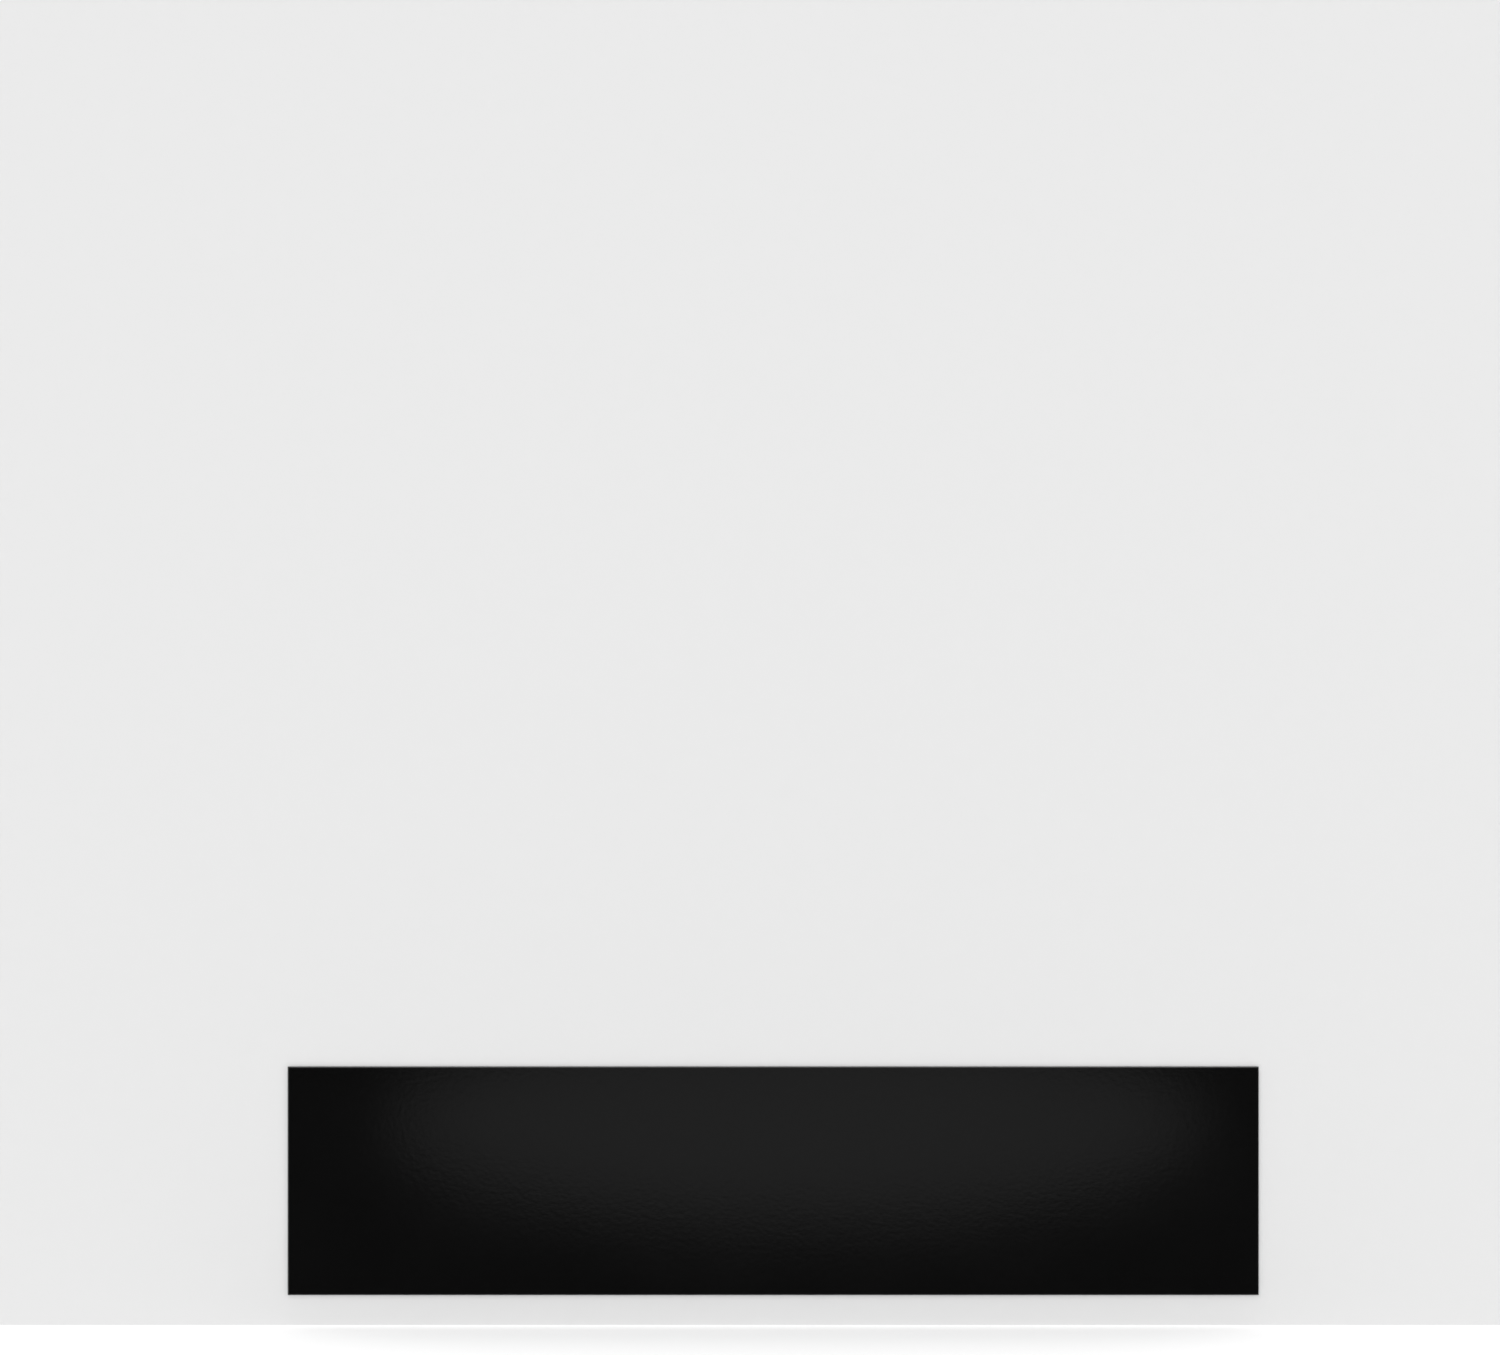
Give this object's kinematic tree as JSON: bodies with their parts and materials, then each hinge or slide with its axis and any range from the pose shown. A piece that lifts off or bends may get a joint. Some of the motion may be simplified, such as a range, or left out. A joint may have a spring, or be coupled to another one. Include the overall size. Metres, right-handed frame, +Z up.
{
  "type": "door kick plate",
  "caption": "Flat rectangular satin black metal kick plate with bevelled edges, held to the foot of a door by foam tape on its back.",
  "frame": {"origin": "on the door's face, straight behind the middle of the plate, at the back of the centre tape", "axes": "+X along the plate to the right as seen from the front, +Y into the door, +Z up; the plate's front looks towards -Y"},
  "size_m": [0.8636, 0.0024, 0.2032],
  "materials": {
    "satin_black_coating": "satin",
    "black_foam_tape": "matte"
  },
  "bodies": {
    "root": {"face_plate": "satin_black_coating", "top_tape": "black_foam_tape", "bottom_tape": "black_foam_tape", "left_end_tape": "black_foam_tape", "left_middle_tape": "black_foam_tape", "centre_tape": "black_foam_tape", "right_middle_tape": "black_foam_tape", "right_end_tape": "black_foam_tape"}
  },
  "joints": []
}
